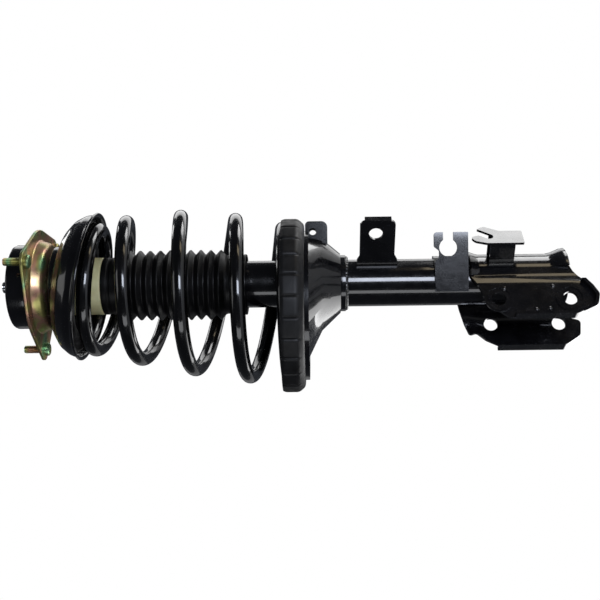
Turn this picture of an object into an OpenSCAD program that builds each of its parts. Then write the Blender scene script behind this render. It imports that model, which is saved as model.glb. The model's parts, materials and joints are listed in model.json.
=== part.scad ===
// Loaded suspension strut: top mount, coil spring, damper and knuckle bracket.
// +Z runs up the strut's axis, and the origin is the centre of the stud circle
// on the mount plate's upper face. Everything below the plate has a negative z.

/* [Top mount] */
// Diameter of the circle that the studs stand on
stud_pcd = 127; // [122:0.5:132]
// Radius of a stud's thread
stud_r = 4; // [3.5:0.25:4]
// Height of the studs above the plate
stud_h = 18; // [12:1:22]
// Direction of the first stud from +X
stud_angle = -6; // [-60:1:60]
// Thickness of the mount plate
plate_t = 3; // [2.5:0.25:3]
// Outer radius of the cup that holds the rubber
cup_r = 41.75; // [41:0.25:42]
// Height of the cup above the plate
cup_h = 23; // [21:0.5:25]

/* [Damper] */
// Outer radius of the strut tube
tube_r = 23.3; // [23:0.1:23.6]
// Height of the strut tube's top end
tube_top = -190; // [-192:1:-188]
// Height of the strut tube's lower end
tube_end = -524; // [-530:1:-522]
// Radius of the piston rod
rod_r = 10; // [9:0.5:10]
// Bore radius of the pressure tube
cylinder_r = 15; // [15:0.5:16]
// Radial gap of the running fits
run_gap = 0.05; // [0.02:0.01:0.09]

/* [Spring] */
// Radius of the spring wire
wire_r = 7.1; // [6.5:0.1:7.1]
// Radius of the spring's middle turns, at the wire's centre
coil_r = 75.8; // [75:0.1:76]
// Lean of the upper seat
seat_lean = 7.5; // [6.5:0.5:8]
// Lean of the spring's middle turns
coil_tilt = 5; // [3:0.5:6]
// Direction of the side that leans down, from +X
lean_dir = 63; // [45:1:80]
// Sideways offset of the lower seat from the strut's axis
seat_shift = 22; // [18:1:22]
// Direction of that offset from +X
shift_dir = 252; // [240:1:260]

/* [Knuckle bracket] */
// Distance from the strut's axis to each ear's mid-plane
ear_x = 28; // [27:0.5:29]
// Thickness of the bracket's sheet
sheet_t = 3.5; // [3:0.25:3.5]
// Radius of the two bolt holes
bolt_r = 7; // [6:0.25:7]
// Distance from the strut's axis to the bolt axes
bolt_y = 35; // [34:0.5:36]
// Height of the upper bolt
bolt_top = -452; // [-454:1:-450]
// Distance between the two bolts
bolt_pitch = 68.5; // [66:0.5:70]

/* [Brackets] */
// Direction of the hose bracket from +X
hose_angle = 23; // [15:1:30]
// Radius of the hose bracket's hole
hose_hole_r = 6.7; // [5:0.1:7]
// Direction that the sensor bracket's flat face looks, from +X
sensor_angle = -27; // [-32:1:-22]
// Radius of the sensor bracket's round notch
notch_r = 8.75; // [8:0.25:9]

/* [Hidden] */
$fn = 96;
stud_circle = stud_pcd / 2;
disc_r = 57;
lug_r = 11;
seat_z = -23;
race_z = -0.5;
race_h = 12;
ball_r = 3.5;
ball_circle = 13.75;
ball_count = 8;
thread_r = 6;
collar_r = 28.5;
cuff_z = -66;
boot_end = -208;
boot_wall = 1.6;
guide_end = -216;
tube_wall = 2;
shoulder_z = -238.5;
pan_z = -265.5;
pan_r = 74;
dish_shift = 3.3;
neck_z = -298;
band_r = tube_r + sheet_t;
band_top = -426;
band_end = -521;
shift = seat_shift * [cos(shift_dir), sin(shift_dir), 0];
nudge = 0.01;

// ---- shared shapes ----

// Flat ring from z to z + h
module ring(outer, inner, z, h) {
    translate([0, 0, z]) difference() {
        cylinder(r = outer, h = h);
        translate([0, 0, -1]) cylinder(r = inner, h = h + 2);
    }
}

// Hexagon nut with a round bore, from z to z + h
module hex_nut(flats, bore, z, h) {
    translate([0, 0, z]) difference() {
        intersection() {
            cylinder(d = flats / cos(30), h = h, $fn = 6);
            rotate_extrude() polygon([
                [0, 0], [flats * 0.5, 0], [flats * 0.58, 1.2],
                [flats * 0.58, h - 1.2], [flats * 0.5, h], [0, h]
            ]);
        }
        translate([0, 0, -1]) cylinder(r = bore, h = h + 2);
    }
}

// Places its children around +Z
module around(count, first = 0) {
    for (i = [0:count - 1]) rotate([0, 0, first + i * 360 / count]) children();
}

// Sets its children's XY plane upright: x becomes y, y becomes z, z becomes x
module upright() {
    rotate([90, 0, 90]) children();
}

// Leans its children with the upper spring seat
module leaned() {
    translate([0, 0, seat_z]) rotate([0, 0, lean_dir]) translate([dish_shift, 0, 0])
        rotate([0, seat_lean, 0]) translate([0, 0, -seat_z]) children();
}

function unit(v) = v / norm(v);
function flat(p) = [p[0], p[1]];

// Arc that rounds the corner b between a and c
function corner(a, b, c, r, steps = 6) =
    let (u = unit(a - b), v = unit(c - b))
    let (half = acos(u * v) / 2)
    let (centre = b + unit(u + v) * r / sin(half))
    let (from = b + u * r / tan(half), to = b + v * r / tan(half))
    [for (i = [0:steps]) centre + unit(from + (to - from) * i / steps - centre) * r];

// Outline through [x, y, radius] corners, rounded
function rounded(p) =
    [for (i = [0:len(p) - 1])
        let (a = p[(i + len(p) - 1) % len(p)], c = p[(i + 1) % len(p)])
        each corner(flat(a), flat(p[i]), flat(c), p[i][2])];

// The same corners moved inwards by t, for an anticlockwise outline
function inset(p, t) =
    [for (i = [0:len(p) - 1])
        let (a = flat(p[(i + len(p) - 1) % len(p)]), b = flat(p[i]))
        let (c = flat(p[(i + 1) % len(p)]))
        let (u = unit(b - a), v = unit(c - b))
        let (m = [-u[1] - v[1], u[0] + v[0]] / (1 + u * v))
        [b[0] + m[0] * t, b[1] + m[1] * t, max(p[i][2] - t, 0.6)]];

// ---- top mount ----

// Plate outline: a lug at each stud, joined to the disc by straight tangents
function plate_outline() =
    let (reach = acos((disc_r - lug_r) / stud_circle), gap = 120 - 2 * reach)
    [for (i = [0:2]) let (m = stud_angle + 120 * i) each concat(
        [for (k = [-6:6]) let (w = m + reach * k / 6)
            stud_circle * [cos(m), sin(m)] + lug_r * [cos(w), sin(w)]],
        [for (k = [0:6]) let (w = m + reach + gap * k / 6) disc_r * [cos(w), sin(w)]]
    )];

module mount_plate() {
    color("darkkhaki") difference() {
        union() {
            translate([0, 0, -plate_t]) linear_extrude(plate_t) difference() {
                polygon(plate_outline());
                circle(r = 48.5);
            }
            rotate_extrude() polygon([
                [48.5, 0], [48, -0.3], [45, -0.3], [43.5, -1.5], [40.6, -9.5], [39, -11], [24, -11],
                [24, -14], [40, -14], [42.2, -13], [43.6, -11], [46.2, -plate_t - 0.6],
                [47.2, -plate_t], [48.5, -plate_t]
            ]);
        }
        around(3, stud_angle)
            translate([stud_circle, 0, -plate_t - 1]) cylinder(r = 4.4, h = plate_t + 2);
    }
}

module mount_studs() {
    color("darkkhaki") around(3, stud_angle) translate([stud_circle, 0, 0]) {
        translate([0, 0, -plate_t - 4.5]) cylinder(r1 = 5.4, r2 = 6.6, h = 1.2);
        translate([0, 0, -plate_t - 3.3]) cylinder(r = 6.6, h = 3.3);
        translate([0, 0, -plate_t]) cylinder(r = 4.4, h = plate_t);
        cylinder(r = stud_r, h = stud_h - 1);
        translate([0, 0, stud_h - 1]) cylinder(r1 = stud_r, r2 = stud_r - 1, h = 1);
    }
}

module mount_cup() {
    wall = 2.5;
    color("#1c1c1f") rotate_extrude() polygon([
        [cup_r - wall, -0.3], [46.5, -0.3], [47.3, 0.5], [47.3, 2], [46.5, 2.8], [43.4, 2.8],
        [cup_r, 4.6], [cup_r, cup_h - 3.4], [cup_r - 1, cup_h - 1], [cup_r - 3.4, cup_h],
        [21, cup_h], [21, cup_h - wall], [cup_r - 4, cup_h - wall],
        [cup_r - wall, cup_h - wall - 1.5]
    ]);
}

module mount_rubber() {
    outer = cup_r - 2.5;
    color("#26262a") rotate_extrude() polygon([
        [23, -8], [36, -8], [38.2, -3], [38.6, 0], [outer, 0.5], [outer, 18.5],
        [outer - 1, 19.5], [32, 20.2], [28.5, 17], [26, 14], [23, 13]
    ]);
}

module bearing_holder() {
    color("silver") rotate_extrude() polygon([
        [17.5, -9], [22, -9], [23, -8], [23, 10.5], [20, 10.5], [20, -6.5], [17.5, -6.5]
    ]);
}

// Ball track cut into a race
module ball_track() {
    translate([0, 0, race_z]) rotate_extrude()
        translate([ball_circle, 0]) circle(r = ball_r + 0.1, $fn = 48);
}

module bearing_outer_race() {
    color("lightsteelblue") difference() {
        ring(20, 16.5, race_z - race_h / 2, race_h);
        ball_track();
    }
}

module bearing_inner_race() {
    color("lightsteelblue") difference() {
        ring(11, thread_r, race_z - race_h / 2, race_h);
        ball_track();
    }
}

module bearing_retainer() {
    color("gray") ring(20, 17.2, race_z + race_h / 2, 1.5);
}

module bearing_balls() {
    color("white") around(ball_count)
        translate([ball_circle, 0, race_z]) sphere(r = ball_r, $fn = 32);
}

module bearing_cage() {
    half = 4.7;
    color("burlywood") difference() {
        ring(15.1, 12.4, race_z - half, 2 * half);
        around(ball_count) translate([10, 0, race_z]) rotate([0, 90, 0])
            cylinder(r = ball_r + 0.1, h = 8, $fn = 32);
    }
}

// ---- rod, upper seat and what hangs from them ----

module piston_rod() {
    tip = 36;
    color("gainsboro") {
        translate([0, 0, tip - 1.2]) cylinder(r1 = thread_r, r2 = thread_r - 1.2, h = 1.2);
        translate([0, 0, seat_z]) cylinder(r = thread_r, h = tip - 1.2 - seat_z);
        translate([0, 0, shoulder_z]) cylinder(r = rod_r, h = seat_z - shoulder_z);
        translate([0, 0, -268]) cylinder(r = thread_r, h = 268 + shoulder_z);
    }
}

module rod_washer() {
    color("silver") ring(14, thread_r, race_z + race_h / 2, 2.5);
}

module rod_nut() {
    color("darkkhaki") hex_nut(19, thread_r, race_z + race_h / 2 + 2.5, 10);
}

module seat_spacer() {
    top = race_z - race_h / 2;
    color("silver") ring(9.5, thread_r, seat_z + 3, top - seat_z - 3);
}

module upper_spring_seat() {
    color("#18181b") difference() {
        union() {
            ring(40, thread_r, seat_z, 3);
            ring(40, 30.6, seat_z - 5, 10.5);
            leaned() rotate_extrude() polygon([
                [34, -23.2], [34, -20.2], [40, -21], [55, -26.6], [60, -29.6],
                [64, -33.2], [67.4, -37.4], [70, -42], [71.4, -46.4], [72.2, -49],
                [74, -50.8], [73.8, -52.8], [71.4, -52.6], [69.6, -50], [68.6, -46.4],
                [67.4, -42.9], [65.2, -38.9], [62.2, -35.2], [58.4, -32],
                [54, -29.2], [39, -23.6]
            ]);
        }
        translate([0, 0, -60]) cylinder(r = thread_r, h = 60);
    }
}

module upper_spring_isolator() {
    groove_r = wire_r + 0.9;
    color("#2b2b2e") leaned() rotate_extrude() polygon(concat(
        [[46, -27.2], [54, -30.2], [58, -32.8], [61.6, -35.9], [64.3, -39.6], [66, -43.6],
         [66, -47]],
        [for (a = [35:15:140]) [57.4, coil_top] + groove_r * [cos(a), sin(a)]],
        [[48.5, -48.2], [46, -47]]
    ));
}

module boot_collar() {
    color("beige") rotate_extrude() polygon([
        [21.3, -23.3], [27.5, -23.3], [collar_r, -24.3], [collar_r, cuff_z + 1.2],
        [collar_r - 0.8, cuff_z], [26.4, cuff_z], [26.4, -83], [25.6, -84],
        [22.5, -84], [21.3, -82.8]
    ]);
}

module bump_stop() {
    outer = 20.8;
    waist = 16.5;
    color("khaki") rotate_extrude() polygon(concat(
        [[rod_r + 0.4, -109.5], [13.4, -109.5], [15.6, -107.5]],
        [for (k = [0:2]) let (z = -103 + k * 14) each [
            [outer - 3 + k, z], [outer - 2.4 + k, z + 3], [outer - 3 + k, z + 6], [waist, z + 10]
        ]],
        [[outer, -58], [outer, -24.3], [rod_r + 0.4, -24.3]]
    ));
}

// Outline of the bellows from its upper cuff down, moved inwards by t
function bellows(t) = concat(
    [[collar_r - t, cuff_z - nudge], [collar_r - t, -84.5]],
    [for (i = [0:9]) each [
        [30 - t, -87 - 10 * i], [30.8 - t, -88.6 - 10 * i], [34.9 - t, -91.2 - 10 * i],
        [35.5 - t, -92 - 10 * i], [34.9 - t, -92.8 - 10 * i], [30.8 - t, -95.4 - 10 * i]
    ]],
    [[30 - t, -187], [29.3 - t, -189], [29.3 - t, boot_end]]
);

module dust_boot() {
    outer = bellows(0);
    inner = bellows(boot_wall);
    color("#141416") rotate_extrude()
        polygon(concat(outer, [for (i = [len(inner) - 1:-1:0]) inner[i]]));
}

module rebound_stop() {
    color("dimgray") ring(14.5, rod_r, -226, 226 + guide_end - 0.3);
}

module piston() {
    color("slategray") difference() {
        ring(cylinder_r - 0.3, thread_r, -256, 16);
        ring(cylinder_r, cylinder_r - 1, -254, 12);
        around(8) translate([10, 0, -257]) cylinder(r = 1.2, h = 18, $fn = 16);
    }
}

module piston_band() {
    color("#3a4a3a") ring(cylinder_r - run_gap, cylinder_r - 1, -254, 12);
}

module valve_shims() {
    color("lightgray") {
        ring(12.4, thread_r, -240, 0.5);
        ring(10.5, thread_r, -239.5, 0.5);
        ring(8.6, thread_r, -239, 0.5);
        ring(12.4, thread_r, -256.5, 0.5);
        ring(10.5, thread_r, -257, 0.5);
        ring(8.6, thread_r, -257.5, 0.5);
    }
}

module piston_nut() {
    color("dimgray") hex_nut(17, thread_r, -265.5, 8);
}

// ---- coil spring ----

turn_first = -0.45;
turn_last = 4.8;
ease_in = [-0.3, 1.2];
ease_out = [3.6, 4.7];
turn_pitch = 54;
coil_top = -52.5;

// Height fallen by turn t: level, then a growing pitch, then even, then level again
function ramp(t, span) =
    let (s = min(max(t - span[0], 0), span[1] - span[0]))
    s * s / (2 * (span[1] - span[0])) + max(t - span[1], 0);
function coil_z(t) = coil_top - turn_pitch * (ramp(t, ease_in) - ramp(t, ease_out));
// Radius at the wire's centre: small in the upper seat, full from the third turn
function coil_radius(t) = 57.5 + (coil_r - 57.5) * min(max(t / 2.3, 0), 1);
function coil_shift(t) = 1.5 + (seat_shift - 1.5) * pow(min(max(t, 0), 4.05) / 4.05, 2.3);
function coil_lean(t) = coil_tilt * min(1, max(0, 1 - (t - 3.4) / 1.2))
    + (seat_lean - coil_tilt) * min(1, max(0, 1 - t));
function coil_point(t) =
    let (r = coil_radius(t), a = lean_dir - 360 * t, s = coil_shift(t))
    [r * cos(a) + s * cos(shift_dir), r * sin(a) + s * sin(shift_dir),
     coil_z(t) - r * cos(360 * t) * sin(coil_lean(t))];

module coil_spring() {
    sides = 12;
    rings = 190;
    step = (turn_last - turn_first) / (rings - 1);
    path = [for (i = [0:rings - 1]) coil_point(turn_first + i * step)];
    shell = [for (i = [0:rings - 1])
        let (along = unit(path[min(i + 1, rings - 1)] - path[max(i - 1, 0)]))
        let (out = unit(cross(along, [0, 0, 1])), up = cross(out, along))
        for (k = [0:sides - 1])
            path[i] + wire_r * (cos(k * 360 / sides) * out + sin(k * 360 / sides) * up)];
    walls = [for (i = [0:rings - 2]) for (k = [0:sides - 1])
        let (a = i * sides + k, b = i * sides + (k + 1) % sides)
        [a, a + sides, b + sides, b]];
    ends = [[for (k = [0:sides - 1]) k],
            [for (k = [sides - 1:-1:0]) (rings - 1) * sides + k]];
    color("#17171a") polyhedron(points = shell, faces = concat(walls, ends), convexity = 10);
}

// ---- strut body ----

module outer_tube() {
    color("#161619") ring(tube_r, tube_r - tube_wall, tube_end, tube_top - tube_end);
}

module top_cap() {
    color("#161619") ring(tube_r - tube_wall, rod_r + 0.6, tube_top - 3, 3);
}

module oil_seal() {
    color("#222226") ring(tube_r - tube_wall, rod_r + run_gap, -200, 200 + tube_top - 3);
}

module rod_guide() {
    color("slategray") {
        ring(tube_r - tube_wall, 12, -211, 11);
        ring(cylinder_r, 12, guide_end, -211 - guide_end);
    }
}

module rod_guide_bush() {
    color("peru") ring(12, rod_r + run_gap, guide_end, -200 - guide_end);
}

module pressure_tube() {
    color("silver") ring(cylinder_r + 1.5, cylinder_r, -508, 508 - 211);
}

module base_valve() {
    color("slategray") difference() {
        union() {
            translate([0, 0, -508]) cylinder(r = cylinder_r, h = 7);
            translate([0, 0, -518]) cylinder(r = cylinder_r + 1.5, h = 10);
        }
        translate([0, 0, -519]) cylinder(r = 12, h = 5);
        around(2) translate([-20, -3, -519]) cube([40, 6, 4]);
        around(6) translate([8.5, 0, -519]) cylinder(r = 1.4, h = 20, $fn = 16);
    }
}

module base_cap() {
    color("#161619") rotate_extrude() polygon([
        [0, -518], [tube_r - tube_wall, -518], [tube_r - tube_wall, tube_end],
        [17, tube_end - 1.6], [10, tube_end - 2.6], [0, tube_end - 3]
    ]);
}

module lower_spring_pad() {
    color("#1b1b1e") translate(shift) difference() {
        rotate_extrude() polygon([
            [67, pan_z], [78, pan_z], [82, -264], [84.8, -260.8], [86, -256.5],
            [86.2, -252], [85.8, -247], [85.2, -243.6], [84.8, -242.9], [84.3, -243.6],
            [84, -246], [83.9, -253], [82.6, -256.6], [79.8, -259], [75.8, -259.9],
            [71.6, -259], [69, -256.6], [67.9, -253], [67.4, -251], [65.6, -251],
            [64.4, -253], [64.2, -262.5]
        ]);
        around(24, 7) translate([86.2, 0, -256]) cube([1.6, 2, 40], center = true);
    }
}

// Thin disc that the pan's hulls run between, moved by a share of the seat's offset
module pan_disc(r, z, share) {
    translate([0, 0, z] + shift * share) cylinder(r = r, h = 0.2, $fn = 64);
}

// Trumpet from the pan's plate down to its neck
module pan_cone(wall, top, drop) {
    middle = -282.5;
    hull() {
        pan_disc(62 - wall, top, 0.68);
        pan_disc(46 - wall, middle + drop, 0.05);
    }
    hull() {
        pan_disc(46 - wall, middle + drop, 0.05);
        pan_disc(29.6 - wall, neck_z - 2.8 + drop, 0);
    }
}

module lower_spring_seat() {
    rim = pan_z - 3;
    pocket_end = -288.4;
    color("#17171a") difference() {
        union() {
            translate(shift + [0, 0, rim]) cylinder(r = pan_r, h = 3);
            translate(shift) ring(pan_r, pan_r - 3, rim - 1.2, 2);
            pan_cone(0, rim + 0.6, 0);
            rotate([0, 0, lean_dir]) translate([0, 17, 0]) rotate([90, 0, 0])
                linear_extrude(34) polygon(rounded([
                    [38, pocket_end, 1], [61, pocket_end, 6], [61, rim + 2, 4],
                    [38, rim + 2, 1]
                ]));
        }
        pan_cone(2.8, rim + 3, 0.8);
        translate([0, 0, neck_z - 20]) cylinder(r = tube_r, h = 60);
        rotate([0, 0, lean_dir]) {
            translate([34, -14.4, pocket_end + 2.6]) cube([24.4, 28.8, 17]);
            translate([51, 20, -274]) rotate([90, 0, 0]) cylinder(r = 3.6, h = 40);
        }
        translate(shift) around(5, 40) translate([67, 0, rim - 1]) cylinder(r = 3.5, h = 6);
    }
}

module seat_collar() {
    color("#17171a") ring(28, tube_r, -306, 306 + neck_z - 2.8);
}

// Tab that holds a hose, with its plate in a plane through the strut's axis
module hose_bracket() {
    low = -353.5;
    high = -320;
    mid = (low + high) / 2 + 2;
    color("#1a1a1d") rotate([0, 0, hose_angle]) difference() {
        union() {
            translate([0, 0, 0]) rotate([90, 0, 0]) linear_extrude(2.5) polygon(rounded([
                [20, low - 3, 0.5], [30, low - 3, 2], [36, low, 4], [77, low, 5],
                [77, high, 5], [36, high, 4], [30, high + 3, 2], [20, high + 3, 0.5]
            ]));
            for (z = [low, high - 2.5])
                translate([20, -2.5, z]) cube([46, 13, 2.5]);
            translate([75, -2.5, low + 4]) cube([2.5, 7, high - low - 8]);
        }
        translate([62, 10, mid]) rotate([90, 0, 0]) cylinder(r = hose_hole_r, h = 30);
        rotate([0, 0, -hose_angle]) translate([0, 0, low - 10])
            cylinder(r = tube_r, h = high - low + 20);
    }
}

// Clip plate for a wheel speed sensor's cable, tangent to the tube, and its strap
module sensor_bracket() {
    low = -425.5;
    high = -393;
    notch_z = -406;
    notch_y = 33;
    face = tube_r + 0.7;
    color("#1a1a1d") rotate([0, 0, sensor_angle]) difference() {
        union() {
            translate([face, 0, 0]) upright() linear_extrude(2.5) polygon(rounded([
                [-10, low, 1], [-10, high, 6], [20, high, 6], [24, high - 4, 2],
                [30, high - 4, 2], [34, high + 1, 2], [48, high + 1, 3], [48, low, 3]
            ]));
            translate([face - 12, 18, low]) cube([14.5, 30, 2.5]);
            intersection() {
                ring(tube_r + 2.6, tube_r, low, high - low);
                rotate([0, 0, 3]) translate([0, 0, low - 1]) cube([40, 40, high - low + 2]);
            }
            translate([face - 3, -10, low]) cube([4, 16, high - low]);
        }
        translate([face - 20, notch_y, notch_z]) rotate([0, 90, 0])
            cylinder(r = notch_r, h = 40);
        translate([face - 20, notch_y, notch_z - 5]) cube([40, 30, 10]);
        translate([0, 0, low - 1]) cylinder(r = tube_r, h = high - low + 2);
    }
}

// Fork that a brake hose or cable clips into, on a stem welded to the knuckle bracket
module hook_bracket() {
    out = 50;
    slot_r = 4.3;
    color("dimgray") rotate([0, 0, 27]) difference() {
        union() {
            translate([out, 0, 0]) upright() linear_extrude(2.5) difference() {
                polygon(rounded([
                    [-11, -478, 1.5], [11, -478, 1.5], [11, -456, 8], [19, -442, 2.4],
                    [14.5, -434.5, 2.4], [4, -438, 1], [0, -427, 3], [-7, -431, 5],
                    [-11, -442, 8]
                ]));
                translate([1, -445]) rotate(-38) {
                    circle(r = slot_r);
                    translate([-slot_r, 0]) square([2 * slot_r, 30]);
                }
            }
            translate([band_r - 3, -9, -470]) cube([out - band_r + 3 + nudge, 2.5, 24]);
            translate([band_r - 3, 6.5, -470]) cube([out - band_r + 3 + nudge, 2.5, 24]);
            translate([band_r - 3, -9, -470]) cube([6, 18, 2.5]);
            translate([out - 8, -9, -470]) cube([8 + nudge, 18, 2.5]);
        }
        translate([0, 0, -490]) cylinder(r = band_r, h = 80);
    }
}

// Ear outlines as [y, z, corner radius], anticlockwise
function front_ear() = [
    [40, band_top, 1], [-6, band_top, 6], [-19, -433, 8], [-38, -440, 8],
    [-55, -461, 7], [-55, -524, 9], [-45, -545, 7], [-33, -548, 6], [-24, -543, 8],
    [-4, -527, 10], [10, band_end, 6], [40, band_end, 1]
];
function rear_ear() = [
    [40, band_top, 1], [0, band_top, 3], [-11, -420, 4], [-34, -425.5, 8],
    [-46.5, -430, 3], [-44, -437, 3], [-52, -446, 6], [-58, -458, 3], [-58, -526, 6],
    [-48, -541, 6], [-32, -543, 4], [-28, -530, 6], [-14, band_end, 6],
    [40, band_end, 1]
];

// Rim standing out of an ear's edge, as far as depth, where y is under y_max
module ear_rim(outline, depth, y_max, z_low, z_high) {
    t = 3.2;
    intersection() {
        upright() linear_extrude(depth) difference() {
            polygon(rounded(outline));
            polygon(rounded(inset(outline, t)));
        }
        translate([-1, -80, z_low]) cube([depth + 2, 80 + y_max, z_high - z_low]);
    }
}

module knuckle_bracket() {
    face = ear_x + sheet_t / 2;
    back = ear_x - sheet_t / 2;
    bite = 0.6;
    color("#161619") difference() {
        union() {
            for (side = [0, 1]) intersection() {
                translate([0, 0, -550]) linear_extrude(140) {
                    intersection() {
                        circle(r = band_r);
                        translate([-40, 0]) square([80, 40]);
                    }
                    for (m = [0, 1]) mirror([m, 0]) polygon([
                        [tube_r - 1, 0], [band_r, 0], [band_r, -9], [face, -17],
                        [face, -60], [back, -60], [back, -18], [tube_r, -10],
                        [tube_r - 1, -10]
                    ]);
                }
                mirror([side, 0, 0]) upright() linear_extrude(45)
                    polygon(rounded(side == 0 ? front_ear() : rear_ear()));
            }
            translate([face - bite, 0, 0]) ear_rim(front_ear(), 8, -46, -530, -466);
            translate([face - bite, 0, 0]) ear_rim(front_ear(), 6, -16, -560, -524);
            mirror([1, 0, 0]) translate([face - bite, 0, 0])
                ear_rim(rear_ear(), 10.5, -44, -538, -459);
            rotate([0, 0, 2]) rotate_extrude(angle = 176) polygon([
                [tube_r + 1, -503], [band_r - 0.5, -503], [band_r + 1.6, -511],
                [band_r + 5, -519], [band_r + 5.6, -523], [band_r + 3, -524.5],
                [band_r + 1, -520.4], [tube_r + 1, -519]
            ]);
            rotate([0, 0, -14]) rotate_extrude(angle = 70) polygon([
                [tube_r + 1, -440], [band_r - 0.6, -440], [band_r + 1, -434],
                [band_r + 3.2, -428], [band_r + 1, -426.2], [tube_r + 1, -430]
            ]);
            for (side = [0, 1], z = [bolt_top, bolt_top - bolt_pitch])
                mirror([side, 0, 0]) translate([face - bite, -bolt_y, z])
                    rotate([0, 90, 0]) ring(14, 11.6, 0, bite + 1);
            for (p = [[-22, -505], [-47, -487], [-46, -500], [-24, -458]])
                translate([face - 1.4, p[0], p[1]]) sphere(r = 2.8, $fn = 24);
        }
        translate([0, 0, -560]) cylinder(r = tube_r, h = 160);
        for (z = [bolt_top, bolt_top - bolt_pitch])
            translate([-60, -bolt_y, z]) rotate([0, 90, 0]) cylinder(r = bolt_r, h = 120);
    }
}

module weld_beads() {
    color("#202024") {
        rotate_extrude() polygon([[tube_r, -306], [27.4, -306], [26.6, -307.6],
                                  [tube_r, -309.4]]);
        rotate([0, 0, 80]) rotate_extrude(angle = 98) polygon([
            [tube_r, band_top], [band_r - 0.8, band_top],
            [tube_r + 1.4, band_top + 2.2], [tube_r, band_top + 2.8]
        ]);
        for (first = [-34, 204.6]) translate([0, 0, -512]) rotate([0, 0, first])
            rotate_extrude(angle = 9.4)
                polygon([[tube_r, 0], [tube_r + 2, 0.6], [tube_r + 2, 75], [tube_r, 76]]);
    }
}

mount_plate();
mount_studs();
mount_cup();
mount_rubber();
bearing_holder();
bearing_outer_race();
bearing_retainer();
bearing_balls();
bearing_cage();
bearing_inner_race();
piston_rod();
rod_nut();
rod_washer();
seat_spacer();
upper_spring_seat();
upper_spring_isolator();
boot_collar();
bump_stop();
dust_boot();
coil_spring();
rebound_stop();
piston();
piston_band();
valve_shims();
piston_nut();
outer_tube();
pressure_tube();
rod_guide();
rod_guide_bush();
oil_seal();
top_cap();
base_valve();
base_cap();
lower_spring_seat();
seat_collar();
lower_spring_pad();
hose_bracket();
sensor_bracket();
hook_bracket();
knuckle_bracket();
weld_beads();
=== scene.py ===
"""Looks for a suspension strut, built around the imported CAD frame.

The row frame has +Z up the strut's axis. All lengths are in metres. Pieces that replace a CAD node
keep its name with an ending that says what was refined.
"""
import json
import math

import bmesh
import bpy
import numpy as np
from mathutils import Matrix, Vector

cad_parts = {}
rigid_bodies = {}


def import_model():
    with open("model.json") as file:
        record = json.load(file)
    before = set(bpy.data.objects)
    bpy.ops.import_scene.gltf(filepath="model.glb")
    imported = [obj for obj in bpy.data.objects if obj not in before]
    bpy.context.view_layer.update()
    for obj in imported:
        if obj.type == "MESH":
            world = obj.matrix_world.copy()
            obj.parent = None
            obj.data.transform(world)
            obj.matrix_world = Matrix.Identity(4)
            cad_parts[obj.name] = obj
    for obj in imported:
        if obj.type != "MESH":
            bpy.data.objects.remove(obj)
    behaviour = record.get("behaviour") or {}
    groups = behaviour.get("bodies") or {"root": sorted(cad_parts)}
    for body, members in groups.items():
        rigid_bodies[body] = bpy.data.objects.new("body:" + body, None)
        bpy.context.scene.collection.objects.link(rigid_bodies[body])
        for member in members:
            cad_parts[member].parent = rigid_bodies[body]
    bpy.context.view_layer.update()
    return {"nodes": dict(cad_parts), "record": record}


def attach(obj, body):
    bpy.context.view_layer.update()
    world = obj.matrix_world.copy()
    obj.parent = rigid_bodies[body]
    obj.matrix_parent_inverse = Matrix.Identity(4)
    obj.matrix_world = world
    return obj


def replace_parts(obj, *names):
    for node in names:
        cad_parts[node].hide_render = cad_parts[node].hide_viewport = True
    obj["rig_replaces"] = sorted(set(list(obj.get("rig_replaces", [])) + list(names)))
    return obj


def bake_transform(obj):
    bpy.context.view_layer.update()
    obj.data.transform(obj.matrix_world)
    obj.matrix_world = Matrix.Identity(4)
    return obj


MM = 0.001
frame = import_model()
record = frame["record"]
BODY = {n: b for b, nodes in record["behaviour"]["bodies"].items() for n in nodes}
SLOT = {s["node"]: s["material_slot"] for s in record["subparts"]}


# ---------------------------------------------------------------- camera, lights, floor

SIDE_ANGLE = math.radians(-27.3)  # direction from the strut's axis to the camera, in plan
TOWARD = Vector((math.cos(SIDE_ANGLE), math.sin(SIDE_ANGLE), 0))
ACROSS = Vector((-TOWARD.y, TOWARD.x, 0))  # up in the picture
DOWN = Vector((0, 0, -1))  # to the right in the picture
CAMERA_DISTANCE = 1.030
CAMERA_HEIGHT = -0.2784
CAMERA_DROP = -0.0165
TILT = math.radians(0.72)
PICTURE_WIDTH = 0.600
SENSOR = 36.0
SIDE_SHIFT = -0.03
FLOOR_RADIUS = 1.2
FLOOR_HEIGHT = -1.0
WHITE = (1.0, 1.0, 1.0)
COOL = (0.80, 0.86, 1.0)


def add_camera():
    """Camera square to the strut, rolled so that the strut lies level, mount at the left."""
    right = DOWN * math.cos(TILT) - ACROSS * math.sin(TILT)
    up = DOWN * math.sin(TILT) + ACROSS * math.cos(TILT)
    place = TOWARD * CAMERA_DISTANCE + ACROSS * CAMERA_DROP + Vector((0, 0, CAMERA_HEIGHT))
    data = bpy.data.cameras.new("camera")
    data.sensor_width = SENSOR
    data.lens = SENSOR * CAMERA_DISTANCE / PICTURE_WIDTH
    data.shift_x = SIDE_SHIFT
    camera = bpy.data.objects.new("camera", data)
    turn = Matrix((right, up, TOWARD)).transposed()
    camera.matrix_world = Matrix.Translation(place) @ turn.to_4x4()
    bpy.context.collection.objects.link(camera)
    bpy.context.scene.camera = camera


def area_light(name, shape, size, power):
    data = bpy.data.lights.new(name, "AREA")
    data.shape = shape
    data.size = size
    data.energy = power
    light = bpy.data.objects.new(name, data)
    bpy.context.collection.objects.link(light)
    return light


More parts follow.
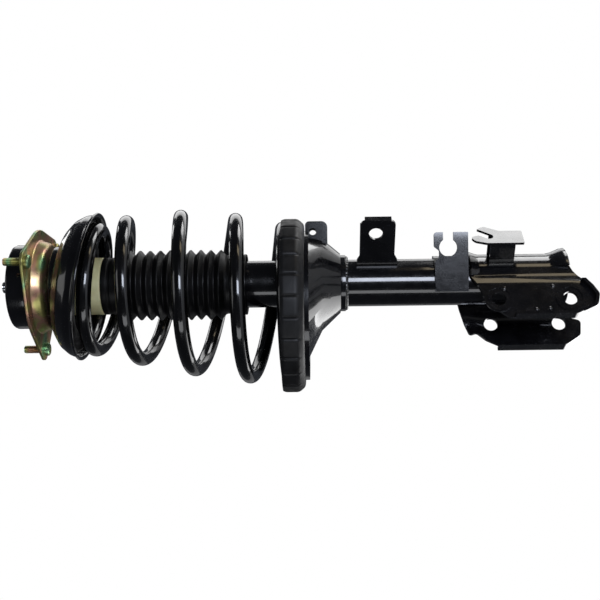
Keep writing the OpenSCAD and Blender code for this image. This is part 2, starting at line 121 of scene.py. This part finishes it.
def add_softbox(name, angle, distance, width, length, power, colour, height=-0.28):
    """Rectangular light whose long side runs along the strut, at an angle above the camera."""
    a = math.radians(angle)
    out = TOWARD * math.cos(a) + ACROSS * math.sin(a)
    light = area_light(name, "RECTANGLE", width, power)
    light.data.size_y = length
    light.data.color = colour
    side = Vector((0, 0, 1)).cross(out).normalized()
    turn = Matrix((side, Vector((0, 0, 1)), out)).transposed()
    place = out * distance + Vector((0, 0, height))
    light.matrix_world = Matrix.Translation(place) @ turn.to_4x4()


def add_end_light(name, toward, across, height, power, size, upward):
    """Square light above or below the strut that faces along its axis."""
    light = area_light(name, "SQUARE", size, power)
    light.location = TOWARD * toward + ACROSS * across + Vector((0, 0, height))
    light.rotation_euler = (math.pi, 0, 0) if upward else (0, 0, 0)


def add_world():
    """White behind the object, with dim surroundings for reflections, as in a light tent."""
    world = bpy.data.worlds.new("studio")
    bpy.context.scene.world = world
    world.use_nodes = True
    nodes, links = world.node_tree.nodes, world.node_tree.links
    nodes.clear()
    out = nodes.new("ShaderNodeOutputWorld")
    mix = nodes.new("ShaderNodeMixShader")
    path = nodes.new("ShaderNodeLightPath")
    dim = nodes.new("ShaderNodeBackground")
    bright = nodes.new("ShaderNodeBackground")
    dim.inputs["Color"].default_value = (*COOL, 1)
    dim.inputs["Strength"].default_value = 0.05
    bright.inputs["Color"].default_value = (*WHITE, 1)
    bright.inputs["Strength"].default_value = 1.0
    links.new(path.outputs["Is Camera Ray"], mix.inputs["Fac"])
    links.new(dim.outputs["Background"], mix.inputs[1])
    links.new(bright.outputs["Background"], mix.inputs[2])
    links.new(mix.outputs["Shader"], out.inputs["Surface"])


def add_floor():
    """Pale round floor well below the strut's lower end."""
    bpy.ops.mesh.primitive_circle_add(
        vertices=96, radius=FLOOR_RADIUS, fill_type="NGON", location=(0, 0, FLOOR_HEIGHT))
    floor = bpy.context.object
    floor.name = "floor"
    mat = bpy.data.materials.new("floor_white")
    mat.use_nodes = True
    shader = mat.node_tree.nodes["Principled BSDF"]
    shader.inputs["Base Color"].default_value = (0.92, 0.92, 0.92, 1)
    shader.inputs["Roughness"].default_value = 0.8
    floor.data.materials.append(mat)


add_camera()
add_world()
add_floor()
add_softbox("key_front", 14.5, 1.5, 0.46, 0.72, 16, COOL, height=-0.68)
add_softbox("warm_top", 69, 1.2, 0.28, 0.55, 1.3, (1.0, 0.84, 0.58), height=-0.78)
add_softbox("window_top", 108, 1.2, 0.60, 0.5, 5.6, WHITE, height=-0.80)
add_softbox("rim_top", 144, 1.2, 0.55, 1.5, 3.6, WHITE)
add_softbox("fill_below", -46, 1.4, 0.36, 1.4, 4.2, (0.95, 0.97, 1.0))
add_softbox("rim_below", -146, 1.3, 0.4, 1.4, 0.4, WHITE)
add_end_light("low_back", -0.5, -0.42, -0.95, 7.5, 0.9, True)
add_end_light("high_back", -0.69, 0.38, 0.57, 1.6, 0.4, False)
add_end_light("high_end", 0.4, 0.1, 0.9, 1.0, 0.5, False)
bpy.context.scene.view_settings.view_transform = "Standard"


# ---------------------------------------------------------------- materials

def new_material(name, metallic=0.0, coat=0.0, coat_rough=0.05, specular=0.5):
    mat = bpy.data.materials.new(name)
    mat.use_nodes = True
    shader = mat.node_tree.nodes["Principled BSDF"]
    shader.inputs["Metallic"].default_value = metallic
    shader.inputs["Coat Weight"].default_value = coat
    shader.inputs["Coat Roughness"].default_value = coat_rough
    shader.inputs["Specular IOR Level"].default_value = specular
    return mat, mat.node_tree.nodes, mat.node_tree.links, shader


def noise(nodes, links, scale, detail, stretch=(1, 1, 1)):
    """Noise in the row frame, so that its size is real on every piece."""
    coords = nodes.new("ShaderNodeTexCoord")
    mapping = nodes.new("ShaderNodeMapping")
    mapping.inputs["Scale"].default_value = stretch
    tex = nodes.new("ShaderNodeTexNoise")
    tex.inputs["Scale"].default_value = scale
    tex.inputs["Detail"].default_value = detail
    links.new(coords.outputs["Object"], mapping.inputs["Vector"])
    links.new(mapping.outputs["Vector"], tex.inputs["Vector"])
    return tex.outputs["Fac"]


def colour_ramp(nodes, links, source, stops):
    ramp = nodes.new("ShaderNodeValToRGB")
    elements = ramp.color_ramp.elements
    while len(elements) < len(stops):
        elements.new(0.5)
    for element, (place, colour) in zip(elements, stops):
        element.position = place
        element.color = (*colour, 1)
    links.new(source, ramp.inputs["Fac"])
    return ramp.outputs["Color"]


def value_range(nodes, links, source, low, high):
    """Noise spread over low to high. Most of its values lie between 0.3 and 0.7."""
    spread = nodes.new("ShaderNodeMapRange")
    spread.inputs["From Min"].default_value = 0.3
    spread.inputs["From Max"].default_value = 0.7
    spread.inputs["To Min"].default_value = low
    spread.inputs["To Max"].default_value = high
    links.new(source, spread.inputs["Value"])
    return spread.outputs["Result"]


def add_bump(nodes, links, shader, layers):
    """Bump from (height source, strength, distance) layers, one over the other."""
    last = None
    for source, strength, distance in layers:
        bump = nodes.new("ShaderNodeBump")
        bump.inputs["Strength"].default_value = strength
        bump.inputs["Distance"].default_value = distance
        links.new(source, bump.inputs["Height"])
        if last:
            links.new(last, bump.inputs["Normal"])
        last = bump.outputs["Normal"]
    links.new(last, shader.inputs["Normal"])


def paint(name, dark, light, rough, peel):
    """Black enamel: dusty patches, uneven gloss and a fine orange peel."""
    mat, nodes, links, shader = new_material(name, coat=0.9, coat_rough=0.06, specular=0.2)
    patches = noise(nodes, links, 38, 6)
    links.new(colour_ramp(nodes, links, patches, [(0.35, dark), (0.75, light)]),
              shader.inputs["Base Color"])
    gloss = noise(nodes, links, 90, 5)
    links.new(value_range(nodes, links, gloss, *rough), shader.inputs["Roughness"])
    fine = noise(nodes, links, 420, 3)
    wavy = noise(nodes, links, 95, 2)
    add_bump(nodes, links, shader, [(fine, peel, 0.00012), (wavy, peel * 0.8, 0.0006)])
    return mat


def rubber(name, dark, light, rough, grain=900, bump=0.25):
    mat, nodes, links, shader = new_material(name, specular=0.22)
    patches = noise(nodes, links, 60, 6)
    links.new(colour_ramp(nodes, links, patches, [(0.3, dark), (0.75, light)]),
              shader.inputs["Base Color"])
    links.new(value_range(nodes, links, noise(nodes, links, 150, 4), *rough),
              shader.inputs["Roughness"])
    add_bump(nodes, links, shader, [(noise(nodes, links, grain, 4), bump, 0.0002)])
    return mat


def zinc():
    """Yellow zinc: gold with rose, violet and green bands, and faint rolling marks."""
    mat, nodes, links, shader = new_material("zinc_yellow", metallic=0.86)
    bands = noise(nodes, links, 21, 2, stretch=(1, 1, 1.6))
    colours = colour_ramp(nodes, links, bands, [
        (0.28, (0.26, 0.25, 0.08)), (0.40, (0.40, 0.37, 0.13)), (0.48, (0.52, 0.28, 0.20)),
        (0.54, (0.40, 0.38, 0.15)), (0.60, (0.20, 0.40, 0.22)), (0.68, (0.36, 0.34, 0.12)),
        (0.80, (0.24, 0.23, 0.08))])
    links.new(colours, shader.inputs["Base Color"])
    links.new(value_range(nodes, links, noise(nodes, links, 120, 6), 0.24, 0.42),
              shader.inputs["Roughness"])
    add_bump(nodes, links, shader, [
        (noise(nodes, links, 500, 4, stretch=(1, 0.12, 1)), 0.2, 0.0001),
        (noise(nodes, links, 60, 2), 0.12, 0.0008)])
    return mat


def metal(name, dark, light, rough, grain=(700, 0.15), stretch=(1, 1, 0.08)):
    mat, nodes, links, shader = new_material(name, metallic=1.0)
    links.new(colour_ramp(nodes, links, noise(nodes, links, 80, 5), [(0.3, dark), (0.7, light)]),
              shader.inputs["Base Color"])
    links.new(value_range(nodes, links, noise(nodes, links, 200, 5), *rough),
              shader.inputs["Roughness"])
    add_bump(nodes, links, shader,
             [(noise(nodes, links, grain[0], 3, stretch=stretch), grain[1], 0.0001)])
    return mat


def plastic(name, dark, light, rough):
    mat, nodes, links, shader = new_material(name)
    shader.inputs["Subsurface Weight"].default_value = 0.08
    shader.inputs["Subsurface Scale"].default_value = 0.002
    patches = noise(nodes, links, 70, 6)
    links.new(colour_ramp(nodes, links, patches, [(0.3, dark), (0.7, light)]),
              shader.inputs["Base Color"])
    links.new(value_range(nodes, links, noise(nodes, links, 160, 4), *rough),
              shader.inputs["Roughness"])
    add_bump(nodes, links, shader, [(noise(nodes, links, 650, 3), 0.12, 0.0002)])
    return mat


MATERIAL = {
    "zinc_yellow": zinc(),
    "black_paint": paint("black_paint", (0.001, 0.001, 0.0015), (0.004, 0.004, 0.005),
        (0.16, 0.30), 0.22),
    "spring_coat": paint("spring_coat", (0.001, 0.001, 0.001), (0.003, 0.003, 0.0035),
        (0.14, 0.28), 0.30),
    "black_rubber": rubber("black_rubber", (0.004, 0.004, 0.004), (0.010, 0.010, 0.0105),
        (0.36, 0.52)),
    "boot_rubber": rubber("boot_rubber", (0.0015, 0.0015, 0.0015), (0.004, 0.004, 0.0042),
        (0.34, 0.50)),
    "foam": rubber("foam", (0.42, 0.34, 0.16), (0.58, 0.50, 0.28), (0.8, 0.95), 1400, 0.5),
    "cream_plastic": plastic("cream_plastic", (0.50, 0.47, 0.24), (0.66, 0.62, 0.36),
        (0.38, 0.55)),
    "cage_plastic": plastic("cage_plastic", (0.55, 0.40, 0.20), (0.66, 0.52, 0.30), (0.35, 0.5)),
    "band_plastic": plastic("band_plastic", (0.08, 0.13, 0.10), (0.12, 0.18, 0.14), (0.4, 0.55)),
    "steel": metal("steel", (0.40, 0.41, 0.42), (0.60, 0.61, 0.62), (0.28, 0.46)),
    "chrome_rod": metal("chrome_rod", (0.74, 0.74, 0.75), (0.80, 0.80, 0.81), (0.05, 0.10),
        (900, 0.03)),
    "bearing_steel": metal("bearing_steel", (0.60, 0.61, 0.63), (0.68, 0.69, 0.71),
        (0.08, 0.16), (900, 0.04)),
    "bronze": metal("bronze", (0.50, 0.32, 0.15), (0.66, 0.45, 0.24), (0.35, 0.5)),
    "sintered_iron": metal("sintered_iron", (0.18, 0.18, 0.19), (0.30, 0.30, 0.31),
        (0.5, 0.7), (1600, 0.35), (1, 1, 1)),
}


# ---------------------------------------------------------------- mesh helpers

def add_piece(name, mesh, node, sharp=35, rides=True):
    """Links a mesh as the piece that stands for a CAD node, with that node's finish and body.

    Without a sharp angle the mesh keeps the shading that it came with.
    """
    piece = bpy.data.objects.new(name, mesh)
    bpy.context.collection.objects.link(piece)
    mesh.materials.clear()
    mesh.materials.append(MATERIAL[SLOT[node]])
    if sharp:
        mesh.shade_smooth()
        mesh.set_sharp_from_angle(angle=math.radians(sharp))
    if rides:
        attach(piece, BODY[node])
    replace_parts(piece, node)
    return piece


def mesh_from(name, points, faces):
    mesh = bpy.data.meshes.new(name)
    mesh.from_pydata([tuple(p) for p in points], [], faces)
    mesh.validate()
    bm = bmesh.new()
    bm.from_mesh(mesh)
    bmesh.ops.recalc_face_normals(bm, faces=bm.faces)
    bm.to_mesh(mesh)
    bm.free()
    return mesh


def skin_faces(rows, columns, close_rows=False):
    """Quads between rows of points, closed round the columns."""
    faces = []
    for i in range(rows if close_rows else rows - 1):
        for k in range(columns):
            n, m = (i + 1) % rows, (k + 1) % columns
            faces.append((i * columns + k, n * columns + k, n * columns + m, i * columns + m))
    return faces


def capped_faces(rows, columns):
    """The same quads, with the first and last rows closed by a flat face."""
    return skin_faces(rows, columns) + [
        tuple(range(columns)), tuple((rows - 1) * columns + k for k in range(columns))]


def revolve(name, profile, segments=128, wobble=None):
    """Closed outline of (r, z) points in millimetres turned round +Z."""
    points = []
    for r, z in profile:
        for k in range(segments):
            a = 2 * math.pi * k / segments
            rr, zz = wobble(r, z, a) if wobble else (r, z)
            points.append((rr * math.cos(a) * MM, rr * math.sin(a) * MM, zz * MM))
    return mesh_from(name, points, skin_faces(len(profile), segments, close_rows=True))


def rounded(corners, steps=5):
    """Outline through (x, y, radius) corners, each replaced by an arc."""
    out = []
    count = len(corners)
    for i in range(count):
        a, b, c = (np.array(corners[(i + d) % count][:2], float) for d in (-1, 0, 1))
        radius = corners[i][2]
        u, v = (a - b) / np.linalg.norm(a - b), (c - b) / np.linalg.norm(c - b)
        half = math.acos(max(-1.0, min(1.0, float(u @ v)))) / 2
        if radius <= 0 or half > math.radians(89.5):
            out.append(tuple(b))
            continue
        reach = radius / math.tan(half)
        centre = b + (u + v) / np.linalg.norm(u + v) * radius / math.sin(half)
        start, end = b + u * reach, b + v * reach
        for s in range(steps + 1):
            d = start + (end - start) * s / steps - centre
            out.append(tuple(centre + d / np.linalg.norm(d) * radius))
    return out


def sweep(name, path, radius, sides):
    """Round bar along a path of points, with flat ends. radius(i) gives each ring's radius."""
    count = len(path)
    points = []
    for i, p in enumerate(path):
        along = path[min(i + 1, count - 1)] - path[max(i - 1, 0)]
        along = along / np.linalg.norm(along)
        out = np.cross(along, (0, 0, 1))
        out = out / np.linalg.norm(out)
        up = np.cross(out, along)
        for k in range(sides):
            a = 2 * math.pi * k / sides
            points.append(p + radius(i) * (math.cos(a) * out + math.sin(a) * up))
    return mesh_from(name, points, capped_faces(count, sides))


def joined(name, meshes):
    """One mesh from several."""
    bm = bmesh.new()
    for m in meshes:
        bm.from_mesh(m)
    out = bpy.data.meshes.new(name)
    bm.to_mesh(out)
    bm.free()
    return out


BEVEL_ANGLE = math.radians(32)
SHARP_ANGLE = math.radians(38)
FLAT_ANGLE = math.radians(0.8)
WELD_DISTANCE = 0.003 * MM


def softened(node, width):
    """CAD shape with its edges rounded by a real bevel, width in millimetres."""
    source = frame["nodes"][node]
    mesh = source.data.copy()
    bm = bmesh.new()
    bm.from_mesh(mesh)
    bmesh.ops.remove_doubles(bm, verts=bm.verts, dist=WELD_DISTANCE)
    bmesh.ops.dissolve_limit(bm, angle_limit=FLAT_ANGLE, verts=bm.verts, edges=bm.edges)
    bm.to_mesh(mesh)
    bm.free()
    draft = bpy.data.objects.new(node + "_draft", mesh)
    bpy.context.collection.objects.link(draft)
    bevel = draft.modifiers.new("edges", "BEVEL")
    bevel.width = width * MM
    bevel.segments = 3
    bevel.limit_method = "ANGLE"
    bevel.angle_limit = BEVEL_ANGLE
    bevel.use_clamp_overlap = True
    graph = bpy.context.evaluated_depsgraph_get()
    draft.data = bpy.data.meshes.new_from_object(draft.evaluated_get(graph))
    draft.modifiers.clear()
    draft.data.shade_smooth()
    draft.data.set_sharp_from_angle(angle=SHARP_ANGLE)
    flatten = draft.modifiers.new("normals", "WEIGHTED_NORMAL")
    flatten.keep_sharp = True
    flatten.weight = 90
    graph = bpy.context.evaluated_depsgraph_get()
    final = bpy.data.meshes.new_from_object(draft.evaluated_get(graph))
    bpy.data.objects.remove(draft)
    add_piece(node + "_rounded", final, node, sharp=None)


# ---------------------------------------------------------------- coil spring

WIRE_R = 7.1
COIL_R = 75.8
FIRST_R = 57.5
WIDE_TURN = 2.3  # where the turns reach their full radius
SEAT_LEAN = math.radians(7.5)
COIL_TILT = math.radians(5)
SEAT_Z = -23.0
DISH_SHIFT = 3.3
LEAN_DIR = math.radians(63)
FIRST_SHIFT = 1.5
SEAT_SHIFT = 22.0
SHIFT_TURN = 4.05  # where the offset is complete
SHIFT_POWER = 2.3
SHIFT_DIR = math.radians(252)
LEVEL_FROM = 3.4  # where the turns start to come level
LEVEL_OVER = 1.2
TURN_FIRST = -0.45
TURN_LAST = 4.8
EASE_IN = (-0.3, 1.2)
EASE_OUT = (3.6, 4.7)
TURN_PITCH = 54.0
COIL_TOP = -52.5


def ramp(t, span):
    """Distance gone at turn t by a pitch that grows from 0 to 1 over the span."""
    s = min(max(t - span[0], 0), span[1] - span[0])
    return s * s / (2 * (span[1] - span[0])) + max(t - span[1], 0)


def coil_z(t):
    return COIL_TOP - TURN_PITCH * (ramp(t, EASE_IN) - ramp(t, EASE_OUT))


def coil_point(t):
    """Centre of the wire t turns down from the top, the same curve as the CAD spring's."""
    r = FIRST_R + (COIL_R - FIRST_R) * min(max(t / WIDE_TURN, 0), 1)
    done = min(max(t, 0), SHIFT_TURN) / SHIFT_TURN
    shift = FIRST_SHIFT + (SEAT_SHIFT - FIRST_SHIFT) * done ** SHIFT_POWER
    lean = (COIL_TILT * min(1, max(0, 1 - (t - LEVEL_FROM) / LEVEL_OVER))
            + (SEAT_LEAN - COIL_TILT) * min(1, max(0, 1 - t)))
    a = LEAN_DIR - 2 * math.pi * t
    return np.array((
        r * math.cos(a) + shift * math.cos(SHIFT_DIR),
        r * math.sin(a) + shift * math.sin(SHIFT_DIR),
        coil_z(t) - r * math.cos(2 * math.pi * t) * math.sin(lean))) * MM


def make_spring():
    """Round wire swept along the coil as rings of points, thinner at both ends."""
    rings, sides, taper = 420, 28, 3
    turns = [TURN_FIRST + (TURN_LAST - TURN_FIRST) * i / (rings - 1) for i in range(rings)]
    path = [coil_point(t) for t in turns]

    def radius(i):
        edge = min(i, rings - 1 - i)
        lost = 0 if edge >= taper else 0.9 * (1 - math.sin(math.pi / 2 * edge / taper))
        return (WIRE_R - lost) * MM

    mesh = sweep("coil_spring_wire", path, radius, sides)
    spring = add_piece("coil_spring_wire", mesh, "coil_spring", sharp=50, rides=False)
    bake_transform(spring)


make_spring()


# ---------------------------------------------------------------- dust boot

BOOT_TOP = -66.0
BOOT_END = -208.0
FOLDS = 10
FOLD_PITCH = 10.0
FOLD_TOP = -87.0


def boot_outline():
    """Bellows with rounded crests and troughs, down the outside and back up the inside."""
    outer = [(27.6, BOOT_TOP, 0.8), (28.5, BOOT_TOP, 0.8), (28.5, BOOT_TOP - 5, 0.6),
             (27.9, BOOT_TOP - 6, 0.5), (27.9, BOOT_TOP - 8, 0.5), (28.5, BOOT_TOP - 9, 0.6),
             (28.5, FOLD_TOP + 2, 1.5)]
    for i in range(FOLDS):
        z = FOLD_TOP - FOLD_PITCH * i
        outer += [(29.9, z, 1.3), (35.5, z - 5, 1.1)]
    outer += [(29.9, FOLD_TOP - FOLD_PITCH * FOLDS, 1.3), (29.3, FOLD_TOP - 102, 1.0),
              (29.3, BOOT_END + 3.2, 0.6), (30.1, BOOT_END + 2.4, 0.6), (30.1, BOOT_END, 0.7)]
    inner = [(27.7, BOOT_END, 0.7), (27.7, FOLD_TOP - 102.4, 1.0)]
    for i in reversed(range(FOLDS)):
        z = FOLD_TOP - FOLD_PITCH * i
        inner += [(28.3, z - FOLD_PITCH, 0.9), (33.6, z - 5, 0.9)]
    inner += [(28.3, FOLD_TOP, 0.9), (26.9, FOLD_TOP + 2, 1.0), (26.9, BOOT_TOP, 0.3)]
    return rounded(outer + inner, 4)


def boot_wobble(r, z, a):
    """Slight unevenness of a moulded bellows."""
    amount = 0.18 * math.sin(2 * a + z * 0.09) + 0.12 * math.sin(5 * a - z * 0.21)
    share = min(1, max(0, (BOOT_TOP - 12 - z) / 10))
    return r + amount * share, z + 0.25 * share * math.sin(a + z * 0.05)


add_piece("dust_boot_bellows", revolve("dust_boot_bellows", boot_outline(), 144, boot_wobble),
          "dust_boot", sharp=60)


# ---------------------------------------------------------------- rubber and plastic

def make_mount_rubber():
    outline = rounded([
        (23.0, -8, 0.5), (36, -8, 1.5), (38.2, -3, 1), (38.6, 0, 0.5), (39.25, 0.5, 0.2),
        (39.25, 18.5, 1), (37.2, 20.0, 1.5), (34.5, 20.0, 1.5), (32.5, 16.2, 2.5),
        (29.5, 16.2, 2.5),
        (28.0, 18.6, 1.4), (26.2, 18.6, 1.4), (25, 13.4, 1.5), (23, 13, 0.4)])
    add_piece("mount_rubber_moulded", revolve("mount_rubber_moulded", outline), "mount_rubber")


def make_pad():
    """Grooved sleeve of rubber around the spring's last turn, open on top for the wire."""
    centre = (SEAT_SHIFT * math.cos(SHIFT_DIR), SEAT_SHIFT * math.sin(SHIFT_DIR))
    outline = rounded([
        (64.3, -265.5, 2), (80.6, -265.5, 6), (86.2, -259.0, 7), (86.2, -246, 6),
        (85.0, -242.9, 0.5), (84.3, -243.2, 0.4), (83.9, -254, 4),
        (80.8, -258.8, 3), (75.8, -260.1, 5), (70.8, -258.8, 3),
        (68.0, -255.4, 3), (67.5, -251, 0.8), (65.6, -251, 0.8), (64.3, -253.4, 1.5)], 5)
    blocks, columns = 26, 22

    def groove(r, z, a):
        phase = (a * blocks / (2 * math.pi)) % 1.0
        depth = 1.5 * math.exp(-((phase - 0.5) / 0.045) ** 2)
        swell = 0.35 * math.cos(2 * math.pi * phase)
        outside = min(1, max(0, (r - 83.9) / 2.0))
        return r - (depth * 0.8 + swell * 0.4 + 0.15) * outside, z

    mesh = revolve("lower_spring_pad_sleeve", outline, blocks * columns, groove)
    mesh.transform(Matrix.Translation((centre[0] * MM, centre[1] * MM, 0)))
    add_piece("lower_spring_pad_sleeve", mesh, "lower_spring_pad", sharp=60)


def make_upper_seat():
    """Stamped dish on its leaning plane, with the upright hub that it is pressed onto."""
    dish = revolve("dish", rounded([
        (34, -23.2, 0.6), (34, -20.2, 0.8), (41, -21.0, 8), (55, -26.4, 16), (64.5, -33.4, 12),
        (70.2, -42, 12), (71.8, -48.9, 2.5), (74.1, -50.6, 0.8), (73.9, -52.9, 0.9),
        (70.4, -52.0, 2.5), (68.6, -46.4, 8), (65.0, -38.7, 10), (58.2, -31.9, 12),
        (53, -28.7, 12),
        (40, -23.8, 6)], 6), 160)
    hub = revolve("hub", rounded([
        (6, -23, 0.3), (30.6, -23, 0), (30.6, -28, 0.8), (40, -28, 0.8), (40, -17.5, 2.0),
        (31.6, -17.5, 2.0), (31.0, -20, 0), (6, -20, 0.3)], 4), 96)
    pivot = Matrix.Translation((0, 0, SEAT_Z * MM))
    dish.transform(pivot @ Matrix.Rotation(LEAN_DIR, 4, "Z")
                   @ Matrix.Translation((DISH_SHIFT * MM, 0, 0))
                   @ Matrix.Rotation(SEAT_LEAN, 4, "Y") @ pivot.inverted())
    add_piece("upper_spring_seat_pressed", joined("upper_spring_seat_pressed", [dish, hub]),
              "upper_spring_seat", sharp=50)


make_mount_rubber()
make_pad()
make_upper_seat()


# ---------------------------------------------------------------- threads

THREAD_PITCH = 1.25
THREAD_DEPTH = 0.62
ROWS_PER_TURN = 10


def threaded(name, radius, low, high, around=40):
    """Rod with a real helical thread from low to high, closed at both ends, in millimetres."""
    pitch = THREAD_PITCH
    count = int((high - low) / pitch * ROWS_PER_TURN)
    points = []
    for i in range(count + 1):
        z = low + (high - low) * i / count
        fade = min(1.0, (high - z) / (pitch * 0.8), (z - low) / (pitch * 0.8) + 0.2)
        for k in range(around):
            turn = (z / pitch - k / around) % 1.0
            cut = THREAD_DEPTH * abs(2 * turn - 1)
            r = radius - cut - (1 - max(fade, 0)) * 0.7
            a = 2 * math.pi * k / around
            points.append((r * math.cos(a) * MM, r * math.sin(a) * MM, z * MM))
    return mesh_from(name, points, capped_faces(count + 1, around))


STUD_CIRCLE = 63.5
STUD_FIRST = math.radians(-6)


def make_studs():
    head = rounded([
        (0.01, -7.5, 0), (5.2, -7.5, 0.8), (6.6, -6.4, 0.5), (6.6, -3, 0), (4.4, -3, 0),
        (4.4, 0.1, 0), (3.6, 0.4, 0), (0.01, 0.4, 0)], 3)
    parts = []
    for i in range(3):
        a = STUD_FIRST + 2 * math.pi * i / 3
        move = Matrix.Translation(
            (STUD_CIRCLE * math.cos(a) * MM, STUD_CIRCLE * math.sin(a) * MM, 0))
        for part in (revolve("head", head, 48), threaded("shank", 4.0, 0.2, 18.0)):
            part.transform(move)
            parts.append(part)
    add_piece("mount_studs_threaded", joined("mount_studs_threaded", parts), "mount_studs",
              sharp=28)


def make_rod():
    low, shoulder, step = -268, -23, -238.5
    body = rounded([
        (0.01, low, 0), (5.2, low, 0), (6.0, low + 0.8, 0), (6.0, step, 0), (9.4, step, 0),
        (10.0, step + 0.6, 0), (10.0, shoulder - 0.8, 0), (9.2, shoulder, 0), (6.0, shoulder, 0),
        (6.0, 6, 0), (5.4, 7, 0), (5.4, 7.4, 0), (0.01, 7.4, 0)], 2)
    parts = [revolve("shaft", body, 96), threaded("thread", 6.0, 7.2, 36.0, 56)]
    add_piece("piston_rod_threaded", joined("piston_rod_threaded", parts), "piston_rod", sharp=30)


make_studs()
make_rod()


# ---------------------------------------------------------------- pressed and welded steel

BEAD_SIDES = 14
RIPPLE = 3.2
SIDE_BEAD_R = 23.6
SIDE_BEAD_STEP = 0.8


def bead_radius(size, length, i, last):
    """Radius of a rippled bead, length millimetres along it and thinner at both ends."""
    fade = min(1.0, 0.35 + 0.65 * min(i, last - i) / 4)
    return size * fade * (1 + 0.09 * math.sin(2 * math.pi * length / RIPPLE)) * MM


def arc_bead(name, radius, z, first, last, size):
    """Bead round the tube between two angles in degrees."""
    steps = int(last - first) + 1
    path = [np.array((radius * math.cos(a), radius * math.sin(a), z)) * MM
            for a in np.radians(np.linspace(first, last, steps + 1))]
    step = radius * math.radians((last - first) / steps)
    return sweep(name, path, lambda i: bead_radius(size, i * step, i, steps), BEAD_SIDES)


def side_bead(angle):
    """Upright bead along an edge of the knuckle bracket."""
    a = math.radians(angle)
    out = np.array((math.cos(a), math.sin(a), 0))
    side = np.array((-math.sin(a), math.cos(a), 0))
    path = [(SIDE_BEAD_R * out + (0, 0, -436 - s)) * MM for s in np.arange(0, 76, SIDE_BEAD_STEP)]
    points = []
    for i, p in enumerate(path):
        r = bead_radius(1.9, i * SIDE_BEAD_STEP, i, len(path) - 1)
        for k in range(BEAD_SIDES):
            w = 2 * math.pi * k / BEAD_SIDES
            points.append(p + r * (math.cos(w) * side + math.sin(w) * out))
    return mesh_from("side_bead", points, capped_faces(len(path), BEAD_SIDES))


def make_welds():
    """Rippled beads over the plain ones."""
    parts = [arc_bead("pan_bead", 24.9, -306.4, 0, 359, 2.0),
             arc_bead("band_bead", 24.2, -425.2, 80, 178, 1.9),
             side_bead(-30), side_bead(-150)]
    add_piece("weld_beads_rippled", joined("weld_beads_rippled", parts), "weld_beads", sharp=60)


make_welds()

ROUNDED = {  # width of the edges' rounding on each CAD shape, in millimetres
    "mount_plate": 0.8, "mount_cup": 0.7, "boot_collar": 0.8, "lower_spring_seat": 0.9,
    "seat_collar": 0.5, "hose_bracket": 0.6, "sensor_bracket": 0.6, "hook_bracket": 0.6,
    "knuckle_bracket": 0.9, "rod_nut": 0.3, "rod_washer": 0.3, "base_cap": 0.5, "outer_tube": 0.5,
}
for node, width in ROUNDED.items():
    softened(node, width)

replaced = {n for o in bpy.data.objects for n in o.get("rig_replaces", [])}
for name, obj in frame["nodes"].items():
    if name not in replaced:
        obj.data.materials.clear()
        obj.data.materials.append(MATERIAL[SLOT[name]])
